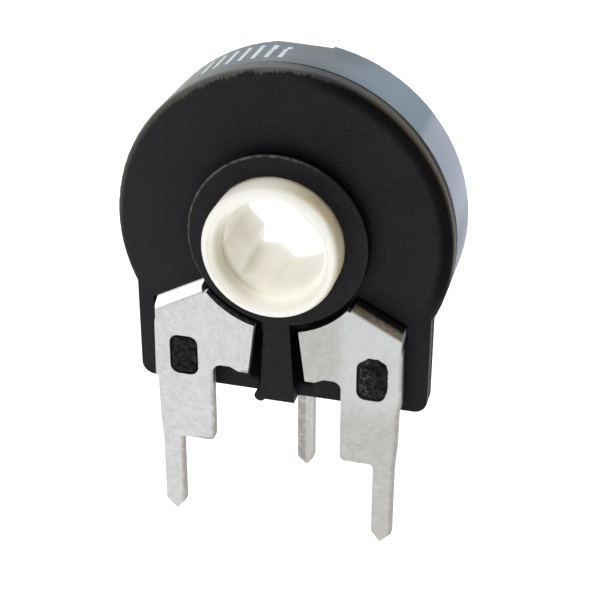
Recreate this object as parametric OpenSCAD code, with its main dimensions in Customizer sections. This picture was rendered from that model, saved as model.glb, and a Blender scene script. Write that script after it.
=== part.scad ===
// Upright trimmer potentiometer, 15 mm class.
// +Z is up from the circuit board, +Y points to the rear, and +X is to the right seen from the front.
// The origin lies on the board's top surface, in the middle plane of the two outer pins, below the turning axis.

/* [Body] */
// Diameter of the round body
body_d = 15; // [14.8:0.1:15.4]
// Thickness of the black front plate
plate_t = 0.9; // [0.85:0.05:1.05]
// Depth of the body from the front plate's face to the rear face
body_depth = 3.8; // [3.8:0.1:4.3]
// Width of the base below the round body
base_w = 13.4; // [13.2:0.1:14]
// Distance from the turning axis down to the underside of the base
base_drop = 7.9; // [7.8:0.1:8.2]
// Diameter of the raised ring around the rotor
ring_d = 8; // [7.6:0.1:8.1]
// Height of the raised ring and of the rib below it
ring_h = 0.75; // [0.6:0.05:0.85]
// Radius of the front plate's rounded rim
rim_r = 0.28; // [0.1:0.02:0.3]

/* [Pins] */
// Height of the turning axis above the circuit board
axis_h = 10.5; // [10.3:0.1:10.9]
// Distance between the two outer pins
pin_pitch = 10; // [9.8:0.1:10.2]
// Distance of the middle pin behind the outer two
row_pitch = 5.2; // [4.9:0.1:5.4]
// Length of the pins below the board's top surface
pin_len = 4.2; // [3.2:0.1:5]
// Width of the outer pins
pin_w = 0.94; // [0.8:0.02:1]
// Sheet thickness of the outer terminals
sheet_t = 0.4; // [0.35:0.05:0.5]
// Width of the middle pin
mid_pin_w = 0.8; // [0.6:0.05:1]
// Sheet thickness of the middle terminal
mid_t = 0.5; // [0.4:0.05:0.5]

/* [Rotor] */
// Diameter of the rotor's collar
collar_d = 6; // [5.6:0.1:6.2]
// How far the collar stands in front of the front plate's face
collar_out = 2.1; // [1.6:0.1:2.6]
// Diameter of the socket between its two flats, at its front end
socket_d = 4.54; // [4.3:0.02:4.54]
// Distance across the two flats of the socket
socket_flats = 3.5; // [3:0.1:3.8]
// Direction of the pointer groove and of the wiper, as an angle from +X towards +Z
pointer_deg = 224; // [200:1:224]
// Radial running clearance of the rotor in its two bearings
play = 0.05; // [0.03:0.01:0.08]

/* [Hidden] */

R = body_d / 2;
ring_r = ring_d / 2;
collar_r = collar_d / 2;
seat_h = 0.45;                        // lands that the outer terminals sit on
face_y = sheet_t / 2 + seat_h;        // the front plate's face in the part's frame
sheet_f = -seat_h - sheet_t;          // front of the outer terminals, from the plate's face
sheet_b = -seat_h;                    // back of the outer terminals
board_t = 0.5;
board_b = plate_t + board_t;          // rear side of the resistor board
film_t = 0.05;
film_b = board_b + film_t;            // rear side of the printed films
rear_wall = 0.6;
cup_r = R - 0.55;                     // inside of the rear housing
cup_b = body_depth - rear_wall;       // inside of its rear wall
coll_f = cup_b - mid_t;               // front of the collector plate
spigot_r = 3.4;                       // rear bearing of the rotor
groove_r = 2.22;                      // reach of the pointer groove
draft = 0.08;                         // how much the socket's radius shrinks towards the rear
mouth_y = -1.17;                      // where the round neck of the mouth ends and the flats begin
neck_y = -1.47;                       // where the flared mouth ends and the round neck begins
mouth_r = socket_d / 2 + 0.03;        // radius of the neck
flare = 0.62;                         // how much the mouth widens per millimetre
lip_r = 0.36;                         // rounding of the collar's lip
flange_f = 1.9;
flange_b = 2.35;
arm_half = 16;                        // half angle of the rotor's stop arm
stop_half = 29.5;                     // half angle of the stop block: leaves the arm 360 - 2 * (16 + 29.5) = 269 degrees
tab_in = [3.46, -2.585];              // inner end of the fold of a terminal, from the axis
tab_out = [5.6, -3.72];               // outer end of the fold
tab_a = atan2(tab_in[1] - tab_out[1], tab_out[0] - tab_in[0]);
tab_l = norm(tab_out - tab_in);
tab_n = [sin(tab_a), cos(tab_a)];     // out of the fold, away from the terminal
tab_u = [cos(tab_a), -sin(tab_a)];    // along the fold, outwards
tab_x = 5.62;                         // where the fold ends on the outside
fold_r = 0.3;
rise = 0.05;                           // how much higher the left tab goes through the front plate
splay = 12;                            // angle by which the left tab widens towards the rear, at its outer end
arm_z = -6.6;                         // underside of a terminal's inner arm, at its tip
leg_x = 2.97;                         // inner edge of a terminal's leg
hole_c = [4.33, -6.13];               // centre of the stake hole
hole_s = [1.33, 1.98];
hole_r = 0.42;
px = pin_pitch / 2;

// ---- placing helpers: profiles are drawn as x and z seen from the front, with the turning axis at 0, 0 ----

module on_axis() { translate([0, face_y, axis_h]) children(); }

module slab(y0, y1) { translate([0, y1, 0]) rotate([90, 0, 0]) linear_extrude(y1 - y0) children(); }

module disc(r, y0, y1, fn = 96) { translate([0, y0, 0]) rotate([-90, 0, 0]) cylinder(r = r, h = y1 - y0, $fn = fn); }

module turned() { rotate([-90, 0, 0]) rotate_extrude($fn = 128) children(); }

module wedge(a1, a2) {
    polygon([[0, 0], 12 * [cos(a1), sin(a1)], 18 * [cos((a1 + a2) / 2), sin((a1 + a2) / 2)], 12 * [cos(a2), sin(a2)]]);
}

module band2d(r1, r2) { difference() { circle(r2, $fn = 128); circle(r1, $fn = 128); } }

module round_rect(c, s, r) {
    translate(c - s / 2) {
        translate([r, 0]) square([s[0] - 2 * r, s[1]]);
        translate([0, r]) square([s[0], s[1] - 2 * r]);
        for (i = [r, s[0] - r], j = [r, s[1] - r]) translate([i, j]) circle(r, $fn = 32);
    }
}

// the same cut-out in the front plate and the board, around the folded tongue
module at_tab() { translate([tab_in[0], 0, tab_in[1]]) rotate([0, tab_a, 0]) children(); }

// ---- front housing ----

module base2d() {
    r = 0.6;
    translate([-base_w / 2, -base_drop + r]) square([base_w, base_drop - r - 2.9]);
    translate([-base_w / 2 + r, -base_drop]) square([base_w - 2 * r, 2]);
    for (s = [-1, 1]) translate([s * (base_w / 2 - r), -base_drop + r]) circle(r, $fn = 48);
}

module rib2d() { polygon([[-0.55, -3.6], [0.55, -3.6], [0.8, -base_drop], [-0.8, -base_drop]]); }

module front_housing() {
    color([0.14, 0.14, 0.15]) on_axis() difference() {
        union() {
            turned() {
                translate([0, rim_r]) square([R, plate_t - rim_r]);
                square([R - rim_r, plate_t]);
                translate([R - rim_r, rim_r]) circle(rim_r, $fn = 48);
            }
            slab(0, plate_t) base2d();
            // raised ring with a softened edge
            turned() {
                translate([0, 0.1 - ring_h]) square([ring_r, ring_h]);
                translate([0, -ring_h]) square([ring_r - 0.1, ring_h]);
                translate([ring_r - 0.1, 0.1 - ring_h]) circle(0.1, $fn = 32);
            }
            // rib from the ring down to the base, with the gate remnant at its foot
            slab(-ring_h, 0.2) rib2d();
            slab(-0.55, 0.2) translate([-0.14, 0]) rib2d();
            translate([-0.86, 0, -base_drop]) disc(0.26, -0.55, 0.2, 32);
            for (s = [-1, 1]) {
                // low land under each terminal, and the post staked through it
                slab(-seat_h, 0.1) round_rect([s * hole_c[0], hole_c[1] + 0.1], [2.2, 3], 0.4);
                slab(sheet_f + 0.1, 0.1) round_rect([s * hole_c[0], hole_c[1]], hole_s - [0.04, 0.04], hole_r - 0.02);
                // pegs that hold the rear housing
                translate([s * 4.9, 0, -6.2]) disc(0.6, plate_t - 0.2, 2.2, 48);
            }
            // register ring inside the rear housing
            slab(plate_t - 0.1, plate_t + 0.4) difference() { band2d(cup_r - 0.5, cup_r - 0.05); wedge(222, 318); }
            // stop block for the rotor's arm
            slab(plate_t - 0.1, 2.4) intersection() { band2d(4.9, cup_r - 0.5); wedge(270 - stop_half, 270 + stop_half); }
        }
        disc(collar_r + play, -2, 4);
        // slots that the folded tabs of the terminals go through
        for (s = [0, 1]) mirror([s, 0, 0]) intersection() {
            at_tab() translate([-0.1, -0.5, -sheet_t - 0.1]) cube([tab_l + 0.6, 3, sheet_t + (s == 0 ? 0.24 : rise + 0.15)]);
            translate([0, -5, -10]) cube([tab_x + (s == 0 ? 0.06 : 0.36), 10, 12]);
        }
    }
}

// ---- rear housing ----

module rear_housing() {
    color([0.58, 0.64, 0.7]) on_axis() difference() {
        union() {
            turned() {
                translate([0, plate_t]) square([R, body_depth - plate_t - 0.12]);
                translate([0, plate_t]) square([R - 0.12, body_depth - plate_t]);
                translate([R - 0.12, body_depth - 0.12]) circle(0.12, $fn = 48);
            }
            slab(plate_t, body_depth) {
                translate([-5.9, -6.8]) square([11.8, 3.9]);
                translate([-5.4, -7.3]) square([10.8, 2]);
                for (s = [-1, 1]) translate([s * 5.4, -6.8]) circle(0.5, $fn = 48);
            }
        }
        difference() {
            disc(cup_r, 0, cup_b);
            // two studs that the collector plate is staked to
            for (a = [-50, -130]) rotate([0, -a, 0]) translate([5.1, 0, 0]) disc(0.4, coll_f, cup_b + 1, 32);
        }
        disc(spigot_r + play, 0, 6);
        // way out for the middle terminal
        translate([-0.86, coll_f - 0.06, -9]) cube([1.72, mid_t + 0.06, 4]);
        // sockets for the front housing's pegs
        for (s = [-1, 1]) translate([s * 4.9, 0, -6.2]) disc(0.62, 0, 2.3, 48);
        // gate flat on top, at the rear edge, a little lower on its right side
        translate([-1.4, body_depth - 1.3, R - 0.105]) rotate([0, 2.6, 0]) cube([2.75, 3, 2]);
    }
}

// ---- rotor and wiper ----

module socket() {
    rotate([0, 180 - pointer_deg, 0]) {
        // round passage with a little draft, between two flats
        intersection() {
            translate([0, mouth_y - 0.1, 0]) rotate([-90, 0, 0]) cylinder(r1 = socket_d / 2, r2 = socket_d / 2 - draft, h = 3.87, $fn = 96);
            translate([socket_flats / 2, mouth_y, 0]) rotate([0, 0, 1.2]) translate([-9, -4, -4]) cube([9, 9, 8]);
            translate([-socket_flats / 2, mouth_y, 0]) rotate([0, 0, -2.4]) translate([0, -4, -4]) cube([9, 9, 8]);
        }
        // lead-in from the round neck to the flats
        translate([0, mouth_y - 0.01, 0]) rotate([-90, 0, 0]) cylinder(r1 = socket_d / 2 - 0.005, r2 = socket_flats / 2 - 0.15, h = 0.8, $fn = 96);
        // pointer groove in the middle of one flat
        slab(mouth_y - 0.1, 2.7) translate([0, -0.12])
            polygon([[-socket_flats / 2 + 0.45, 0.85], [-groove_r, 0.04], [-groove_r, -0.04], [-socket_flats / 2 + 0.45, -0.85]]);
    }
}

module rotor() {
    color([0.93, 0.92, 0.87]) on_axis() difference() {
        union() {
            turned() {
                translate([0, lip_r - collar_out]) square([collar_r, collar_out - lip_r + plate_t + 0.1]);
                translate([0, -collar_out]) square([collar_r - lip_r, 1]);
                translate([0, plate_t + 0.05]) square([4, flange_f - plate_t]);
                translate([0, flange_f]) square([4.5, flange_b - flange_f]);
                translate([0, flange_b - 0.1]) square([spigot_r, body_depth - 0.05 - flange_b + 0.1]);
                translate([collar_r - lip_r, lip_r - collar_out]) circle(lip_r, $fn = 48);
            }
            // arm that carries the wiper and meets the stop block
            slab(flange_f, flange_b) intersection() { band2d(4.2, 6.2); wedge(pointer_deg - arm_half, pointer_deg + arm_half); }
        }
        // flared mouth and its round neck
        translate([0, neck_y - 2, 0]) rotate([-90, 0, 0]) cylinder(r1 = mouth_r + 2 * flare, r2 = mouth_r, h = 2, $fn = 96);
        disc(mouth_r, -2, mouth_y);
        socket();
        disc(2.95, 2.6, 6);
    }
}

module wiper_spring() {
    t = 0.2;
    color([0.8, 0.6, 0.35]) on_axis() rotate([0, -pointer_deg, 0]) {
        translate([4.7, flange_f - t, -0.7]) cube([1.7, t, 1.4]);
        translate([6.2, flange_f - t, -0.7]) cube([t, flange_b - flange_f + 2 * t, 1.4]);
        translate([3.7, flange_b, -0.7]) cube([2.7, t, 1.4]);
        translate([5.5, 0, 0]) disc(0.3, film_b, flange_f - t + 0.05, 32);
        translate([4.05, 0, 0]) disc(0.3, flange_b + t - 0.05, coll_f, 32);
    }
}

// ---- resistor ----

module track_board() {
    color([0.55, 0.33, 0.16]) on_axis() difference() {
        slab(plate_t, board_b) difference() { band2d(4.35, cup_r - 0.55); wedge(231, 309); }
        for (s = [0, 1]) mirror([s, 0, 0]) at_tab()
            translate([tab_l / 2 - 0.65, 0, s * rise - sheet_t - 0.05]) cube([1.3, 3, sheet_t + 0.1]);
    }
}

module resistive_track() {
    color([0.1, 0.1, 0.1]) on_axis() slab(board_b, film_b) difference() { band2d(4.9, 6.1); wedge(208, 332); }
}

module track_end_pads() {
    color([0.75, 0.75, 0.75]) on_axis() slab(board_b, film_b) for (s = [0, 1]) mirror([s, 0, 0])
        intersection() { band2d(4.7, 6.25); wedge(-49.5, -28); }
}

// ---- terminals ----

module terminal2d() {
    a = tab_in - fold_r * tab_n;
    z0 = -axis_h;
    zt = -axis_h - pin_len;
    difference() {
        union() {
            polygon([a - 0.2 * tab_u, [tab_x, a[1] - (tab_x - a[0]) * tan(tab_a)], [tab_x, -4.35], [5.67, -4.6], [5.71, -7.25], [5.6, -7.55],
                     [5.57, -9.4], [px + pin_w / 2, z0 - 0.3], [px + pin_w / 2, zt + 0.52], [px - 0.04, zt], [px - pin_w / 2, zt + 0.52],
                     [px - pin_w / 2, z0], [leg_x + 0.22, z0], [leg_x + 0.06, z0 + 0.07], [leg_x, z0 + 0.25], [leg_x, arm_z + 0.2],
                     [leg_x - 0.8, arm_z + 0.2], [leg_x - 1.2, arm_z], [1.32, arm_z], [0.98, -3.9]]);
            // rounded inner corners below the arm and at the root of the pin
            difference() {
                translate([leg_x - 0.4, arm_z - 0.2]) square([0.5, 0.5]);
                translate([leg_x - 0.4, arm_z - 0.2]) circle(0.4, $fn = 48);
            }
            difference() {
                translate([px - pin_w / 2 - 0.2, z0 - 0.2]) square([0.3, 0.3]);
                translate([px - pin_w / 2 - 0.2, z0 - 0.2]) circle(0.2, $fn = 48);
            }
        }
        translate([0, -0.15]) circle(4.13, $fn = 128);
        round_rect(hole_c, hole_s, hole_r);
    }
}

module terminal(up = 0) {
    slab(sheet_f, sheet_b) terminal2d();
    // the fold, and the tab that goes back through the front plate
    intersection() {
        at_tab() rotate([90, 0, 90]) linear_extrude(tab_l + 0.5) {
            polygon([[sheet_f + fold_r, 0], [-0.05, up], [0.5, up], [0.5, up - sheet_t], [-0.05, up - sheet_t], [sheet_b, -sheet_t], [sheet_f + fold_r, -sheet_t]]);
            translate([sheet_f, -sheet_t]) square([sheet_t, sheet_t - fold_r]);
            translate([sheet_f + fold_r, -fold_r]) circle(fold_r, $fn = 48);
        }
        translate([tab_x, sheet_f, -10]) rotate([0, 0, up > 0 ? -splay : 0]) translate([-9, -3, 0]) cube([9, 9, 12]);
    }
    // tongue that ends in the board, under the printed pad
    at_tab() translate([tab_l / 2 - 0.6, 0.4, up - sheet_t]) cube([1.2, board_b - 0.4, sheet_t]);
}

module terminal_right() { color([0.78, 0.78, 0.77]) on_axis() terminal(); }

module terminal_left() { color([0.8, 0.8, 0.8]) on_axis() mirror([1, 0, 0]) terminal(rise); }

module terminal_middle() {
    y1 = row_pitch - face_y - mid_t / 2;   // front of the middle pin
    z0 = -axis_h;
    zt = -axis_h - pin_len;
    zh = -8.1;                             // top of the stretch that runs to the rear
    ro = mid_t + 0.15;
    color([0.77, 0.76, 0.74]) on_axis() {
        // collector plate: a ring around the rotor, two ears and the tail
        difference() {
            slab(coll_f, cup_b) {
                difference() {
                    union() {
                        circle(4.5, $fn = 128);
                        for (a = [-50, -130]) rotate(a) translate([5.1, 0]) circle(0.95, $fn = 48);
                        translate([-0.8, zh - mid_t + ro]) square([1.6, -zh - 3.8 + mid_t - ro]);
                    }
                    circle(3.65, $fn = 128);
                    for (a = [-50, -130]) rotate(a) translate([5.1, 0]) circle(0.42, $fn = 32);
                }
            }
        }
        // two bends, and the stretch between them under the rear housing
        translate([-0.8, 0, 0]) rotate([90, 0, 90]) linear_extrude(1.6) {
            bend2d([coll_f + ro, zh - mid_t + ro], [-1, -1], ro);
            translate([coll_f + ro, zh - mid_t]) square([y1 + mid_t - coll_f - 2 * ro, mid_t]);
            bend2d([y1 + mid_t - ro, zh - ro], [1, 1], ro);
        }
        // shoulder and pin
        slab(y1, y1 + mid_t) {
            difference() {
                translate([-0.8, z0]) square([1.6, zh - ro - z0]);
            }
            polygon([[-mid_pin_w / 2, z0 + 0.1], [-mid_pin_w / 2, zt + 0.4], [0.08, zt], [mid_pin_w / 2, zt + 0.4], [mid_pin_w / 2, z0 + 0.1]]);
        }
    }
}

// a quarter bend of the middle terminal's strip, drawn as y and z, on the side of its centre that q points to
module bend2d(c, q, ro) {
    translate(c) scale([1, 1]) intersection() {
        difference() { circle(ro, $fn = 48); circle(ro - mid_t, $fn = 48); }
        translate([q[0] > 0 ? 0 : -ro, q[1] > 0 ? 0 : -ro]) square([ro, ro]);
    }
}

front_housing();
rear_housing();
rotor();
wiper_spring();
track_board();
resistive_track();
track_end_pads();
terminal_left();
terminal_right();
terminal_middle();
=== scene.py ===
import math
import bpy
import bmesh
import numpy as np
from mathutils import Vector, Matrix


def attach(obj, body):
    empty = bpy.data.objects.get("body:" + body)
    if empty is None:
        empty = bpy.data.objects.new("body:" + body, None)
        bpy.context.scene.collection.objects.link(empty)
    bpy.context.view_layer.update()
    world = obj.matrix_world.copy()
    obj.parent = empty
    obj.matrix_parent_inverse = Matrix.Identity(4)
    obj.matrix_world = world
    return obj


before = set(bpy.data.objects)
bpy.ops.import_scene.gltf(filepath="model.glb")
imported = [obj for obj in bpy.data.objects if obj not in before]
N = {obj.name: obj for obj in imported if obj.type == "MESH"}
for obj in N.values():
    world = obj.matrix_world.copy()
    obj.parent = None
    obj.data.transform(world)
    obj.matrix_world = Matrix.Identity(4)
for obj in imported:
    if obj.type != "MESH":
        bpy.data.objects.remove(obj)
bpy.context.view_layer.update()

MM = 0.001
FACE_Y = 0.65
AXIS_H = 10.5

# ------------------------------------------------------------------ materials


class Mat:
    """A node material with small helpers. Coordinates are the object's own, in millimetres."""

    def __init__(self, name, rough=0.5, color=(0.5, 0.5, 0.5), metallic=0.0, spec=0.5):
        self.m = bpy.data.materials.new(name)
        self.m.use_nodes = True
        self.t = self.m.node_tree
        self.p = next(n for n in self.t.nodes if n.type == "BSDF_PRINCIPLED")
        self.p.inputs["Roughness"].default_value = rough
        self.p.inputs["Base Color"].default_value = (*color, 1)
        self.p.inputs["Metallic"].default_value = metallic
        self.p.inputs["Specular IOR Level"].default_value = spec
        c = self.t.nodes.new("ShaderNodeTexCoord")
        k = self.t.nodes.new("ShaderNodeMapping")
        k.inputs["Scale"].default_value = (1000, 1000, 1000)
        self.t.links.new(c.outputs["Object"], k.inputs["Vector"])
        self.co = k.outputs["Vector"]

    def node(self, kind, ins=None, **attrs):
        n = self.t.nodes.new(kind)
        for a, v in attrs.items():
            setattr(n, a, v)
        for key, v in (ins or {}).items():
            if isinstance(v, bpy.types.NodeSocket):
                self.t.links.new(v, n.inputs[key])
            else:
                n.inputs[key].default_value = v
        return n

    def math(self, op, a, b=0.0, c=0.0, clamp=False):
        n = self.node("ShaderNodeMath", {0: a, 1: b, 2: c}, operation=op, use_clamp=clamp)
        return n.outputs[0]

    def noise(self, scale, detail=2.0, rough=0.5, vec=None, dist=0.0):
        n = self.node("ShaderNodeTexNoise", {"Vector": vec or self.co, "Scale": scale, "Detail": detail, "Roughness": rough, "Distortion": dist})
        return n.outputs["Fac"]

    def ramp(self, fac, lo, hi, a=0.0, b=1.0, smooth=True):
        n = self.node("ShaderNodeMapRange", {"Value": fac, "From Min": lo, "From Max": hi, "To Min": a, "To Max": b},
                      interpolation_type="SMOOTHSTEP" if smooth else "LINEAR")
        return n.outputs["Result"]

    def mix(self, fac, a, b):
        n = self.t.nodes.new("ShaderNodeMix")
        n.data_type = "RGBA"
        for i, v in ((0, fac), (6, a), (7, b)):
            if isinstance(v, bpy.types.NodeSocket):
                self.t.links.new(v, n.inputs[i])
            else:
                n.inputs[i].default_value = v if i == 0 else (*v, 1)
        return n.outputs[2]

    def mix_value(self, fac, a, b):
        return self.math("ADD", self.math("MULTIPLY", self.math("SUBTRACT", 1.0, fac), a), self.math("MULTIPLY", fac, b))

    def xyz(self, vec=None):
        n = self.node("ShaderNodeSeparateXYZ", {0: vec or self.co})
        return n.outputs[0], n.outputs[1], n.outputs[2]

    def stretched(self, s):
        return self.node("ShaderNodeVectorMath", {0: self.co, 1: s}, operation="MULTIPLY").outputs[0]

    def bump(self, height, strength=0.3, dist=0.01, normal=None):
        ins = {"Height": height, "Strength": strength, "Distance": dist * MM}
        if normal is not None:
            ins["Normal"] = normal
        return self.node("ShaderNodeBump", ins).outputs["Normal"]

    def out(self, **kw):
        for key, v in kw.items():
            name = {"color": "Base Color", "rough": "Roughness", "normal": "Normal", "metal": "Metallic"}[key]
            self.t.links.new(v, self.p.inputs[name])
        return self.m


def srgb(r, g, b):
    f = lambda c: c / 12.92 if c <= 0.04045 else ((c + 0.055) / 1.055) ** 2.4
    return tuple(f(v / 255) for v in (r, g, b))


def black_plastic():
    m = Mat("black_plastic", spec=0.17)
    x, y, z = m.xyz()
    zc = m.math("SUBTRACT", z, AXIS_H)
    rad = m.math("SQRT", m.math("ADD", m.math("MULTIPLY", x, x), m.math("MULTIPLY", zc, zc)))
    ang = m.math("ARCTAN2", x, zc)
    fine = m.noise(26.0, 3.0, 0.6)
    broad = m.noise(0.6, 2.0, 0.5)
    grain = m.noise(9.0, 2.0, 0.55)
    base = m.mix(m.ramp(broad, 0.35, 0.65), srgb(16, 16, 21), srgb(21, 21, 26))
    base = m.mix(m.ramp(fine, 0.58, 0.72, 0.0, 0.5), base, srgb(46, 46, 50))
    base = m.mix(m.ramp(m.noise(7.5, 3.0, 0.7), 0.50, 0.68, 0.0, 0.55), base, srgb(35, 35, 40))
    base = m.mix(m.ramp(m.noise(6.2, 3.0, 0.7), 0.52, 0.70, 0.0, 0.6), base, srgb(8, 8, 11))
    # painted sheen: the face is painted lighter towards the left, where the light falls
    base = m.mix(m.ramp(x, -7.5, -2.5, 0.6, 0.0), base, srgb(31, 31, 36))
    # the rounding at the front plate's edge: lighter grey on the upper left, partly rubbed wear and partly a painted
    # highlight; frayed wear at the top; painted shade on the right
    deg = m.math("MULTIPLY", ang, 180 / math.pi)
    front = m.ramp(y, FACE_Y + 0.25, FACE_Y + 0.40, 1.0, 0.0)
    comb = m.node("ShaderNodeCombineXYZ", {0: m.math("MULTIPLY", ang, 95.0), 1: m.math("MULTIPLY", rad, 2.2), 2: m.math("MULTIPLY", y, 2.0)}).outputs[0]
    fray = m.noise(1.0, 4.0, 0.65, vec=comb)
    above = m.math("MULTIPLY", m.math("MULTIPLY", m.ramp(deg, -62.0, -30.0), m.ramp(deg, 8.0, 30.0, 1.0, 0.0)), front)
    start = m.math("ADD", rad, m.ramp(m.noise(1.6, 3.0), 0.3, 0.7, -0.06, 0.06))
    start = m.math("SUBTRACT", start, m.ramp(deg, -35.0, 20.0, 0.06, 0.22))
    level = m.math("ADD", fray, m.ramp(start, 7.02, 7.34, -0.28, 0.36, False))
    strokes = m.math("MULTIPLY", m.ramp(level, 0.42, 0.70), above)
    base = m.mix(m.math("MULTIPLY", strokes, m.ramp(rad, 7.05, 7.42, 0.40, 0.95)), base, srgb(86, 86, 82))
    # painted shade: the rounding is painted near black on the right, where it faces away from the light
    dark = m.math("MULTIPLY", m.math("MULTIPLY", m.ramp(deg, 0.0, 24.0), m.ramp(deg, 96.0, 122.0, 1.0, 0.0)), front)
    inner = m.math("ADD", m.math("MULTIPLY", fray, 0.75), 6.36)
    dark = m.math("MULTIPLY", dark, m.ramp(rad, inner, 7.16, 0.0, 0.68))
    base = m.mix(dark, base, srgb(4, 4, 4))
    # partly rubbed wear, partly painted highlight: the rounding is painted lighter grey on the upper left, where the
    # light falls
    worn = m.math("MULTIPLY", m.ramp(deg, -100.0, -80.0), m.ramp(deg, -48.0, -20.0, 1.0, 0.0))
    worn = m.math("MULTIPLY", m.math("MULTIPLY", worn, front), m.ramp(rad, m.math("ADD", 7.10, m.math("MULTIPLY", grain, 0.12)), 7.42))
    base = m.mix(m.math("MULTIPLY", worn, 0.8), base, srgb(82, 82, 74))
    # painted reflection and highlight: the plate's outer side is painted grey on the upper left and brown-grey towards
    # the right, where it catches the lamps and the white surroundings
    nx, ny, nz = m.xyz(m.node("ShaderNodeTexCoord").outputs["Normal"])
    side = m.math("MULTIPLY", m.ramp(m.math("ABSOLUTE", ny), 0.25, 0.82, 1.0, 0.0), m.math("GREATER_THAN", rad, 7.15))
    side = m.math("MULTIPLY", side, m.ramp(zc, -3.0, 0.0))
    tone = m.mix(m.ramp(deg, -38.0, 4.0), srgb(140, 141, 137), srgb(104, 107, 108))
    tone = m.mix(m.ramp(deg, -3.0, 14.0), tone, srgb(66, 69, 73))
    tone = m.mix(m.ramp(deg, 12.0, 46.0), tone, srgb(84, 77, 62))
    tone = m.mix(m.ramp(deg, 56.0, 74.0), tone, srgb(64, 58, 46))
    tone = m.mix(m.ramp(deg, -78.0, -54.0, 1.0, 0.0), tone, srgb(38, 38, 40))
    base = m.mix(m.math("MULTIPLY", side, 0.85), base, tone)
    # a dark joint line towards the rear cup, on the right
    wide = m.ramp(deg, 30.0, 66.0, 0.0, 0.27)
    joint = m.math("MULTIPLY", m.ramp(m.math("ADD", y, wide), FACE_Y + 0.70, FACE_Y + 0.80), m.ramp(deg, -16.0, 14.0, 0.0, 0.95))
    base = m.mix(joint, base, srgb(18, 14, 10))
    # painted shade at the foot of the raised ring, on its upper right side wall
    ring_foot_shade = m.math("MULTIPLY", m.math("MULTIPLY", m.math("GREATER_THAN", rad, 3.975), m.ramp(rad, 4.005, 4.05, 1.0, 0.0)), m.math("MULTIPLY", m.ramp(y, FACE_Y - 0.68, FACE_Y - 0.6), m.ramp(y, FACE_Y - 0.40, FACE_Y - 0.10, 1.0, 0.45)))
    ring_foot_shade = m.math("MULTIPLY", ring_foot_shade, m.math("MULTIPLY", m.ramp(m.math("ADD", x, m.math("MULTIPLY", zc, 0.4)), -2.2, 1.8), m.ramp(zc, -2.6, -1.6)))
    base = m.mix(m.math("MULTIPLY", ring_foot_shade, 0.9), base, srgb(4, 4, 5))
    # deep shade in the channels beside the rib
    ax = m.math("ABSOLUTE", x)
    gap = m.math("MULTIPLY", m.ramp(ax, 0.45, 0.55), m.ramp(ax, 1.42, 1.52, 1.0, 0.0))
    gap = m.math("MULTIPLY", gap, m.math("MULTIPLY", m.ramp(zc, -7.5, -7.1), m.ramp(zc, -4.6, -4.3, 1.0, 0.0)))
    gap = m.math("MULTIPLY", gap, m.ramp(y, FACE_Y - 0.70, FACE_Y - 0.62))
    base = m.mix(m.math("MULTIPLY", gap, 0.78), base, srgb(5, 5, 6))
    # painted highlight on the raised ring's front edge, mostly towards the upper left, broken up by noise
    edge = m.math("MULTIPLY", m.ramp(m.math("ABSOLUTE", m.math("SUBTRACT", rad, 3.96)), 0.02, 0.09, 1.0, 0.0), m.ramp(y, FACE_Y - 0.70, FACE_Y - 0.64, 1.0, 0.0))
    edge = m.math("MULTIPLY", edge, m.ramp(m.math("SUBTRACT", zc, x), 0.5, 4.5, 0.05, 1.0))
    base = m.mix(m.math("MULTIPLY", edge, m.ramp(m.noise(3.0, 3.0, 0.6), 0.35, 0.6, 0.2, 0.95)), base, srgb(92, 90, 84))
    rough = m.ramp(grain, 0.3, 0.7, 0.52, 0.66)
    rough = m.math("SUBTRACT", rough, m.math("MULTIPLY", side, 0.16))
    n = m.bump(fine, 0.5, 0.016)
    n = m.bump(grain, 0.35, 0.012, n)
    n = m.bump(strokes, 0.6, 0.02, n)
    # dead matt in the painted shade and the dark joint line: a dark metal gives back next to nothing, so these stay
    # dark
    shade_and_joint_matt = m.math("MAXIMUM", m.math("MAXIMUM", dark, joint), m.math("MAXIMUM", ring_foot_shade, gap))
    rough = m.math("ADD", rough, m.math("MULTIPLY", shade_and_joint_matt, 0.2))
    return m.out(color=base, rough=rough, normal=n, metal=m.math("MULTIPLY", shade_and_joint_matt, 0.85))


def stake_plastic():
    m = Mat("stake_plastic", spec=0.10)
    a = m.noise(3.2, 3.0, 0.6, dist=0.4)
    x, y, z = m.xyz()
    base = m.mix(m.ramp(a, 0.3, 0.7), srgb(3, 3, 4), srgb(9, 9, 11))
    fleck = m.ramp(m.noise(3.6, 4.0, 0.72, dist=0.6), 0.47, 0.66, 0.0, 0.9)
    # painted highlight: the light flecks are strongest on the left part of the right stake and faint on the left stake
    lit = m.ramp(x, 3.9, 4.7, 1.0, 0.12)
    lit = m.math("MULTIPLY", lit, m.math("ADD", m.math("MULTIPLY", m.math("GREATER_THAN", x, 0.0), 0.8), 0.2))
    base = m.mix(m.math("MULTIPLY", fleck, lit), base, srgb(88, 88, 86))
    rough = m.ramp(a, 0.3, 0.7, 0.22, 0.42)
    n = m.bump(a, 0.8, 0.09)
    n = m.bump(m.noise(14.0, 2.0), 0.3, 0.012, n)
    return m.out(color=base, rough=rough, normal=n)


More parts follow.
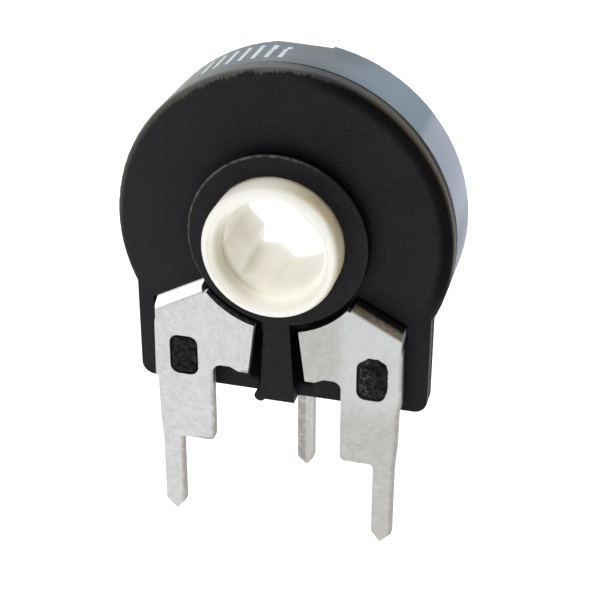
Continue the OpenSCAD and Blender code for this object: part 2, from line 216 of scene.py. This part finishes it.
def grey_plastic():
    m = Mat("grey_plastic", spec=0.42)
    x, y, z = m.xyz()
    broad = m.noise(0.35, 2.0, 0.5)
    fine = m.noise(18.0, 2.0, 0.5)
    base = m.mix(m.ramp(broad, 0.35, 0.65), srgb(106, 122, 135), srgb(114, 131, 145))
    base = m.mix(m.ramp(fine, 0.55, 0.75, 0.0, 0.25), base, srgb(132, 145, 156))
    xr, zr = x, m.math("SUBTRACT", z, AXIS_H)
    tilt = m.math("MULTIPLY", m.math("ARCTAN2", xr, zr), 180 / math.pi)
    # painted light and reflections on the cup's round outside, by angle around the rim: a dimmer grey at the top, warm
    # grey on the upper left, lighter and bluer towards the right, darker blue low on the right; its flat rear is left
    # plain
    nx, ny, nz = m.xyz(m.node("ShaderNodeTexCoord").outputs["Normal"])
    reach = m.math("SQRT", m.math("ADD", m.math("MULTIPLY", xr, xr), m.math("MULTIPLY", zr, zr)))
    outside = m.math("MULTIPLY", m.math("GREATER_THAN", reach, 7.0), m.ramp(m.math("ABSOLUTE", ny), 0.35, 0.8, 1.0, 0.0))
    plain = base
    base = m.mix(m.math("MULTIPLY", m.ramp(tilt, -12.0, 4.0), m.ramp(tilt, 8.0, 24.0, 0.8, 0.0)), base, srgb(98, 108, 112))
    base = m.mix(m.ramp(tilt, 20.0, 38.0, 0.0, 0.9), base, srgb(122, 142, 152))
    base = m.mix(m.math("MULTIPLY", m.ramp(tilt, 48.0, 52.0), m.ramp(tilt, 74.0, 100.0, 1.0, 0.35)), base, m.mix(m.ramp(tilt, 54.0, 68.0), srgb(155, 162, 176), srgb(139, 147, 164)))
    base = m.mix(m.math("MULTIPLY", m.ramp(tilt, -48.0, -12.0, 0.9, 0.0), m.ramp(tilt, -100.0, -62.0)), base, srgb(138, 144, 132))
    base = m.mix(m.math("MULTIPLY", m.ramp(tilt, 76.0, 90.0, 0.0, 0.9), m.ramp(tilt, 100.0, 130.0, 1.0, 0.0)), base, srgb(84, 90, 110))
    rim_light_and_reflection = m.node("ShaderNodeMix", {0: outside}, data_type="RGBA")
    m.t.links.new(plain, rim_light_and_reflection.inputs[6])
    m.t.links.new(base, rim_light_and_reflection.inputs[7])
    base = rim_light_and_reflection.outputs[2]
    # plain white tick marks printed on the rim: angle from the top, and depth
    zc = m.math("SUBTRACT", z, 10.5)
    ang = m.math("MULTIPLY", m.math("ARCTAN2", x, zc), 180 / math.pi)
    rad = m.math("SQRT", m.math("ADD", m.math("MULTIPLY", x, x), m.math("MULTIPLY", zc, zc)))
    rim = m.math("GREATER_THAN", rad, 7.3)
    step = 4.6
    cell = m.math("SUBTRACT", m.math("FRACT", m.math("DIVIDE", m.math("ADD", ang, 31.0 + step / 2), step)), 0.5)
    edge = m.math("ABSOLUTE", cell)
    line = m.ramp(edge, 0.15, 0.18, 1.0, 0.0)
    inside = m.math("MULTIPLY", m.math("GREATER_THAN", ang, -34.0), m.math("LESS_THAN", ang, -2.0))
    depth = m.math("MULTIPLY", m.ramp(y, FACE_Y + 1.40, FACE_Y + 1.45), m.ramp(y, FACE_Y + 3.15, FACE_Y + 3.20, 1.0, 0.0))
    worn = m.ramp(m.noise(7.0, 3.0, 0.65), 0.30, 0.42)
    ink = m.math("MULTIPLY", m.math("MULTIPLY", m.math("MULTIPLY", line, inside), m.math("MULTIPLY", depth, rim)), worn)
    base = m.mix(ink, base, srgb(226, 230, 230))
    n = m.bump(fine, 0.25, 0.01)
    return m.out(color=base, rough=m.ramp(fine, 0.3, 0.7, 0.36, 0.46), normal=n)


def white_plastic():
    m = Mat("white_plastic", spec=0.4)
    x, y, z = m.xyz()
    zc = m.math("SUBTRACT", z, AXIS_H)
    rad = m.math("SQRT", m.math("ADD", m.math("MULTIPLY", x, x), m.math("MULTIPLY", zc, zc)))
    broad = m.noise(0.5, 2.0, 0.5)
    fine = m.noise(11.0, 3.0, 0.55)
    base = m.mix(m.ramp(broad, 0.35, 0.65), srgb(231, 228, 217), srgb(238, 236, 227))
    # painted shade with a blotchy brown cast on the collar's outside, next to the black ring, strongest on the right
    collar_shade = m.math("MULTIPLY", m.ramp(m.math("ADD", rad, m.ramp(x, 1.5, 2.5, 0.0, 0.12)), 2.72, 2.92), m.math("MULTIPLY", m.ramp(y, FACE_Y - 2.02, FACE_Y - 1.45), m.ramp(y, FACE_Y + 0.2, FACE_Y + 0.6, 1.0, 0.0)))
    collar_shade = m.math("MULTIPLY", collar_shade, m.ramp(m.math("SUBTRACT", x, m.math("MULTIPLY", zc, 0.15)), -0.6, 1.9, 0.06, 1.0))
    base = m.mix(m.math("MULTIPLY", collar_shade, m.ramp(m.noise(2.0, 3.0, 0.6), 0.35, 0.7, 0.72, 1.0)), base, srgb(184, 166, 124))
    # painted shade: the mouth's outer edge is darker on its lower right
    nx, ny, nz = m.xyz(m.node("ShaderNodeTexCoord").outputs["Normal"])
    lower_right_shade = m.math("SUBTRACT", m.math("MULTIPLY", nx, 0.85), m.math("MULTIPLY", nz, 0.35))
    lower_right_shade = m.math("MULTIPLY", m.ramp(lower_right_shade, 0.35, 0.85), m.math("MULTIPLY", m.ramp(rad, 2.6, 2.75), m.math("LESS_THAN", y, FACE_Y)))
    base = m.mix(m.math("MULTIPLY", lower_right_shade, 0.9), base, srgb(176, 167, 144))
    # the neck behind the flared mouth holds a soft beige shade on its lower left
    neck = m.math("MULTIPLY", m.ramp(m.math("ABSOLUTE", m.math("SUBTRACT", rad, 2.33)), 0.02, 0.26, 1.0, 0.0), m.ramp(y, FACE_Y - 1.05, FACE_Y - 0.9, 1.0, 0.0))
    neck = m.math("MULTIPLY", neck, m.ramp(m.math("ADD", x, m.math("MULTIPLY", zc, 0.35)), -2.3, -0.9, 1.0, 0.0))
    base = m.mix(m.math("MULTIPLY", neck, 0.75), base, srgb(184, 178, 160))
    m.p.inputs["Subsurface Weight"].default_value = 0.9
    m.p.inputs["Subsurface Radius"].default_value = (1.0, 0.95, 0.85)
    m.p.inputs["Subsurface Scale"].default_value = 1.6 * MM
    # painted light: the inside of the mouth glows, faintly on the left and more towards the lower right, standing in
    # for light through the white plastic
    painted_inner_glow = m.math("MULTIPLY", m.ramp(rad, 2.25, 2.6, 1.0, 0.0), m.ramp(m.math("SUBTRACT", x, zc), -1.2, 2.3, 0.015, 0.21))
    m.p.inputs["Emission Color"].default_value = (1.0, 0.99, 0.95, 1)
    m.t.links.new(painted_inner_glow, m.p.inputs["Emission Strength"])
    n = m.bump(fine, 0.2, 0.012)
    return m.out(color=base, rough=m.ramp(fine, 0.3, 0.7, 0.40, 0.52), normal=n)


def tin(name, tone=(206, 206, 205)):
    m = Mat(name, spec=0.5, metallic=0.75)
    roll = m.noise(1.0, 3.0, 0.6, vec=m.stretched((9.0, 9.0, 1.1)))
    mott = m.noise(3.4, 4.0, 0.65)
    fine = m.noise(24.0, 2.0, 0.5)
    t = srgb(*tone)
    d = tuple(v * 0.93 for v in t)
    base = m.mix(m.ramp(mott, 0.35, 0.68), t, d)
    base = m.mix(m.ramp(roll, 0.45, 0.75, 0.0, 0.25), base, tuple(min(1.0, v * 1.12) for v in t))
    x, y, z = m.xyz()
    # a fine stipple of duller specks
    base = m.mix(m.ramp(m.noise(7.0, 3.0, 0.7), 0.50, 0.68, 0.0, 0.5), base, tuple(v * 0.72 for v in t))
    # painted reflection: a lighter, cooler field on the right terminal's plate, past an uneven border
    border = m.math("ADD", x, m.ramp(mott, 0.3, 0.7, -0.25, 0.25))
    cool_reflection = m.math("MULTIPLY", m.ramp(border, 2.6, 3.3), m.ramp(z, AXIS_H - 8.6, AXIS_H - 6.8))
    cool_reflection = m.math("MULTIPLY", cool_reflection, m.math("LESS_THAN", y, FACE_Y))
    base = m.mix(m.math("MULTIPLY", cool_reflection, m.ramp(fine, 0.3, 0.7, 0.95, 0.65)), base, srgb(196, 197, 199))
    # faint dull cast towards the tips of the pins
    tip = m.math("MULTIPLY", m.ramp(z, -4.3, -0.5, 1.0, 0.0), m.ramp(mott, 0.4, 0.7, 0.10, 0.45))
    base = m.mix(tip, base, srgb(190, 178, 168))
    # the sheared sides of the sheet are duller and a little brown
    nx, ny, nz = m.xyz(m.node("ShaderNodeTexCoord").outputs["Normal"])
    side = m.ramp(m.math("ABSOLUTE", ny), 0.35, 0.8, 1.0, 0.0)
    roll_over = m.ramp(m.math("ABSOLUTE", ny), 0.86, 0.97, 1.0, 0.0)
    above = m.ramp(z, AXIS_H - 4.4, AXIS_H - 4.0, 1.0, 0.0)
    base = m.mix(m.math("MULTIPLY", m.math("MULTIPLY", side, above), 0.7), base, srgb(136, 122, 108))
    # painted shade: the sides that face the ring are painted near black, as shadow from the rotor and a reflection of
    # the black ring
    zr = m.math("SUBTRACT", z, AXIS_H)
    far = m.math("SQRT", m.math("ADD", m.math("MULTIPLY", x, x), m.math("MULTIPLY", zr, zr)))
    towards = m.math("MULTIPLY", m.math("DIVIDE", m.math("ADD", m.math("MULTIPLY", nx, x), m.math("MULTIPLY", nz, zr)), far), -1.0)
    inside = m.math("MULTIPLY", m.ramp(towards, 0.30, 0.62), m.ramp(far, 4.45, 4.75, 1.0, 0.0))
    # the left fold is painted bright white as a painted highlight, and glows; the right one is painted brown as painted
    # shade, and near black where it enters the plate
    fold = m.math("MULTIPLY", roll_over, m.ramp(z, AXIS_H - 4.45, AXIS_H - 4.35))
    fold = m.math("MULTIPLY", fold, m.math("GREATER_THAN", nz, 0.2))
    fold = m.math("MULTIPLY", fold, m.math("LESS_THAN", y, FACE_Y + 0.9))
    isl = m.math("LESS_THAN", x, 0.0)
    left = m.math("MULTIPLY", m.math("MULTIPLY", fold, isl), m.ramp(far, 4.24, 4.34))
    right = m.math("MULTIPLY", fold, m.math("SUBTRACT", 1.0, isl))
    # painted shade on the right fold: brown, going near black where it enters the plate
    right_fold_shade = m.mix(m.ramp(m.noise(5.0, 3.0, 0.6), 0.35, 0.65), srgb(98, 86, 74), srgb(126, 114, 96))
    right_fold_shade = m.mix(m.ramp(y, FACE_Y - 0.56, FACE_Y - 0.40), right_fold_shade, srgb(20, 17, 15))
    base = m.mix(right, base, right_fold_shade)
    # painted highlight on the left fold: bright white
    base = m.mix(left, base, srgb(255, 254, 250))
    # painted shade: a darker strip along the right-hand edge of a leg and its pin, where the shear rolled the sheet
    # over and the rounded edge turns away from the light
    er = m.math("ADD", m.ramp(zr, -10.8, -9.4, 5.47, 5.57, False), m.ramp(zr, -7.6, -7.2, 0.0, 0.12, False))
    el = m.math("ADD", m.ramp(zr, -10.55, -10.35, -4.53, -2.97, False), m.ramp(zr, -6.65, -6.45, 0.0, 2.0, False))
    ed = m.math("SUBTRACT", m.mix_value(isl, er, el), x)
    rolled_edge_shade = m.math("MULTIPLY", m.ramp(ed, 0.02, 0.20, 1.0, 0.0), m.ramp(mott, 0.3, 0.6, 0.25, 0.7))
    base = m.mix(m.math("MULTIPLY", rolled_edge_shade, m.ramp(zr, -4.4, -4.2, 1.0, 0.0)), base, srgb(142, 137, 130))
    # painted shade on the sides that face the ring
    base = m.mix(m.math("MULTIPLY", inside, m.ramp(mott, 0.3, 0.62, 1.0, 0.86)), base, srgb(14, 13, 12))
    rough = m.math("ADD", m.ramp(mott, 0.3, 0.7, 0.40, 0.52), m.ramp(fine, 0.3, 0.7, -0.03, 0.05))
    n = m.bump(roll, 0.2, 0.01)
    n = m.bump(fine, 0.3, 0.006, n)
    left = m.math("MULTIPLY", left, m.math("SUBTRACT", 1.0, inside))
    metal = m.math("SUBTRACT", 0.75, m.math("MULTIPLY", fold, 0.65))
    # painted light: the left fold glows a little
    m.p.inputs["Emission Color"].default_value = (1.0, 0.99, 0.96, 1)
    m.t.links.new(m.math("MULTIPLY", left, 0.50), m.p.inputs["Emission Strength"])
    return m.out(color=base, rough=rough, normal=n, metal=metal)


def bronze():
    m = Mat("spring_bronze", metallic=1.0)
    roll = m.noise(1.0, 3.0, 0.6, vec=m.stretched((2.0, 2.0, 18.0)))
    base = m.mix(m.ramp(roll, 0.35, 0.7), srgb(205, 160, 100), srgb(190, 142, 84))
    return m.out(color=base, rough=m.ramp(roll, 0.3, 0.7, 0.25, 0.4), normal=m.bump(roll, 0.3, 0.005))


def laminate():
    m = Mat("paper_laminate")
    f = m.noise(4.0, 4.0, 0.65, vec=m.stretched((1.0, 1.0, 3.0)))
    base = m.mix(m.ramp(f, 0.35, 0.7), srgb(128, 84, 46), srgb(154, 106, 62))
    return m.out(color=base, rough=m.ramp(f, 0.3, 0.7, 0.45, 0.6), normal=m.bump(f, 0.3, 0.01))


def carbon():
    m = Mat("carbon_film")
    f = m.noise(20.0, 3.0, 0.6)
    base = m.mix(m.ramp(f, 0.35, 0.7), srgb(28, 28, 29), srgb(46, 46, 47))
    return m.out(color=base, rough=m.ramp(f, 0.3, 0.7, 0.4, 0.6), normal=m.bump(f, 0.3, 0.005))


def silver():
    m = Mat("silver_film", metallic=0.8)
    f = m.noise(16.0, 3.0, 0.6)
    base = m.mix(m.ramp(f, 0.35, 0.7), srgb(196, 194, 188), srgb(222, 221, 217))
    return m.out(color=base, rough=m.ramp(f, 0.3, 0.7, 0.4, 0.6), normal=m.bump(f, 0.3, 0.005))


MATS = {
    "front_housing": black_plastic(), "rear_housing": grey_plastic(), "rotor": white_plastic(),
    "wiper_spring": bronze(), "track_board": laminate(), "resistive_track": carbon(), "track_end_pads": silver(),
}
MATS["terminal_left"] = tin("tinned_sheet_left", (201, 201, 201))
MATS["terminal_right"] = tin("tinned_sheet_right", (182, 181, 178))
MATS["terminal_middle"] = tin("tinned_sheet_middle", (196, 195, 191))
for name, m in MATS.items():
    o = N[name]
    o.data.materials.clear()
    o.data.materials.append(m)


def soften(o, width, seg=3, angle=30):
    w = o.modifiers.new("weld", "WELD")
    w.merge_threshold = 2e-7
    b = o.modifiers.new("bevel", "BEVEL")
    b.width = width * MM
    b.segments = seg
    b.limit_method = "ANGLE"
    b.angle_limit = math.radians(angle)
    b.use_clamp_overlap = True
    b.harden_normals = False
    b.miter_outer = "MITER_ARC"


for name, w in (("front_housing", 0.09), ("rear_housing", 0.06), ("rotor", 0.14), ("terminal_left", 0.09), ("terminal_right", 0.09), ("terminal_middle", 0.07)):
    soften(N[name], w)

# ------------------------------------------------------------------ stake heads: the melted ends of the housing's posts

from mathutils import noise as mnoise


def stake_head(name, cx, cz, w, h, r, y0, seed, uneven, dome):
    """A lumpy skin over the end of a post: a rounded rectangle seen from the front, domed and uneven."""
    nu, nv = 60, 84
    bm = bmesh.new()
    rows = []
    for j in range(nv + 1):
        row = []
        for i in range(nu + 1):
            u, v = 2 * i / nu - 1, 2 * j / nv - 1
            # squeeze the square grid into the rounded outline
            x, z = u * w / 2, v * h / 2
            ex, ez = abs(x) - (w / 2 - r), abs(z) - (h / 2 - r)
            if ex > 0 and ez > 0:
                k = max(ex, ez) / math.hypot(ex, ez)
                x = math.copysign(w / 2 - r + ex * k, x)
                z = math.copysign(h / 2 - r + ez * k, z)
            edge = max(abs(u), abs(v))
            # the outline wanders a little
            d = Vector((x, 0, z)).normalized() if edge > 0 else Vector((0, 0, 0))
            wander = uneven * edge ** 3 * (mnoise.noise(d * 2.3 + Vector((seed, 0, 0))) + 0.6 * mnoise.noise(d * 6.0 + Vector((0, seed, 0))))
            x += d.x * wander
            z += d.z * wander
            rim = max(0.0, min(1.0, (1 - edge) / 0.18))
            rim = rim * rim * (3 - 2 * rim)
            p = Vector((x * 2.1 + seed, seed * 0.7, z * 2.1))
            lump = mnoise.noise(p) * 0.10 + mnoise.noise(p * 2.6) * 0.05 + mnoise.noise(p * 6.0) * 0.02
            out = 0.02 + rim * (dome + lump)
            row.append(bm.verts.new(((cx + x) * MM, (y0 - out) * MM, (cz + z) * MM)))
        rows.append(row)
    for j in range(nv):
        for i in range(nu):
            bm.faces.new((rows[j][i], rows[j][i + 1], rows[j + 1][i + 1], rows[j + 1][i]))
    # short skirt that runs back over the post's end
    ring = rows[0][:] + [rows[j][nu] for j in range(1, nv + 1)] + rows[nv][:nu][::-1] + [rows[j][0] for j in range(nv - 1, 0, -1)]
    low = [bm.verts.new((v.co.x, (y0 + 0.05) * MM, v.co.z)) for v in ring]
    for k in range(len(ring)):
        a, b = k, (k + 1) % len(ring)
        bm.faces.new((ring[a], low[a], low[b], ring[b]))
    bmesh.ops.recalc_face_normals(bm, faces=bm.faces)
    me = bpy.data.meshes.new(name)
    bm.to_mesh(me)
    bm.free()
    for f in me.polygons:
        f.use_smooth = True
    o = bpy.data.objects.new(name, me)
    bpy.context.scene.collection.objects.link(o)
    return o


stake_mat = stake_plastic()
# the left one lies inside its hole, the right one has spread over the hole's upper edge
for name, cx, cz, w, h, r, y0, seed, uneven, dome in (
        ("stake_head_left", -4.33, -6.13, 1.30, 1.95, 0.40, FACE_Y - 0.75, 3.1, 0.0, 0.075),
        ("stake_head_right", 4.425, -5.98, 1.29, 1.96, 0.48, FACE_Y - 0.835, 8.7, 0.075, 0.06)):
    o = stake_head(name, cx, AXIS_H + cz, w, h, r, y0, seed, uneven, dome)
    o.data.materials.append(stake_mat)
    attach(o, "housing")

# ------------------------------------------------------------------ stage, light, camera


def area(name, pos, target, size, power, color=(1, 1, 1), shape="DISK", size_y=None):
    d = bpy.data.lights.new(name, "AREA")
    d.shape = shape
    d.size = size
    if size_y:
        d.size_y = size_y
    d.energy = power
    d.color = color
    o = bpy.data.objects.new(name, d)
    o.location = pos
    o.rotation_mode = "QUATERNION"
    o.rotation_quaternion = (Vector(target) - Vector(pos)).to_track_quat("-Z", "Y")
    bpy.context.scene.collection.objects.link(o)
    return o


floor_z = -4.2 * MM
me = bpy.data.meshes.new("floor")
s = 1.5
me.from_pydata([(-s, -s, floor_z), (s, -s, floor_z), (s, s, floor_z), (-s, s, floor_z)], [], [(0, 1, 2, 3)])
floor = bpy.data.objects.new("floor", me)
bpy.context.scene.collection.objects.link(floor)
fm = Mat("floor_paint", rough=0.9, color=(0.92, 0.92, 0.92), spec=0.1)
fine = fm.noise(0.02, 2.0)
fm.p.inputs["Emission Color"].default_value = (1, 1, 1, 1)
fm.p.inputs["Emission Strength"].default_value = 0.62
fm.out(color=fm.mix(fine, (0.915, 0.915, 0.915), (0.925, 0.925, 0.925)))
floor.data.materials.append(fm.m)

world = bpy.context.scene.world or bpy.data.worlds.new("world")
bpy.context.scene.world = world
world.use_nodes = True
bg = next(n for n in world.node_tree.nodes if n.type == "BACKGROUND")
bg.inputs["Color"].default_value = (1.0, 1.0, 1.0, 1)
bg.inputs["Strength"].default_value = 0.40

C0 = Vector((0, 2 * MM, 8 * MM))
area("key", (-0.170, -0.080, 0.275), C0, 0.20, 0.43, (1.0, 0.985, 0.95))
area("back", (-0.02, 0.34, 0.20), C0, 0.50, 0.30, (1.0, 1.0, 1.0), "RECTANGLE", 0.24)
area("right", (0.27, 0.04, 0.20), C0, 0.22, 0.30, (0.86, 0.91, 1.0))

AZ, EL, ROLL = math.radians(15.087), math.radians(28.456), math.radians(0.267)
F_PX, CX, CY = 1463.3, 302.5, 305.8
back = Vector((math.sin(AZ) * math.cos(EL), -math.cos(AZ) * math.cos(EL), math.sin(EL)))
pos = Vector((0.9756, FACE_Y, -3.2788 + AXIS_H)) + back * 64.186
right = (-back).cross(Vector((0, 0, 1))).normalized()
up = right.cross(-back)
r2 = right * math.cos(ROLL) + up * math.sin(ROLL)
u2 = up * math.cos(ROLL) - right * math.sin(ROLL)
cam = bpy.data.cameras.new("camera")
cam.sensor_fit = "HORIZONTAL"
cam.sensor_width = 36.0
cam.lens = F_PX / 600 * 36
cam.shift_x = -(CX - 300) / 600
cam.shift_y = (CY - 300) / 600
cam.clip_start = 0.002
cam.clip_end = 10.0
co = bpy.data.objects.new("camera", cam)
co.matrix_world = Matrix(((r2.x, u2.x, back.x, pos.x * MM), (r2.y, u2.y, back.y, pos.y * MM), (r2.z, u2.z, back.z, pos.z * MM), (0, 0, 0, 1)))
bpy.context.scene.collection.objects.link(co)
bpy.context.scene.camera = co
bpy.context.scene.view_settings.view_transform = "Standard"
bpy.context.scene.view_settings.look = "None"
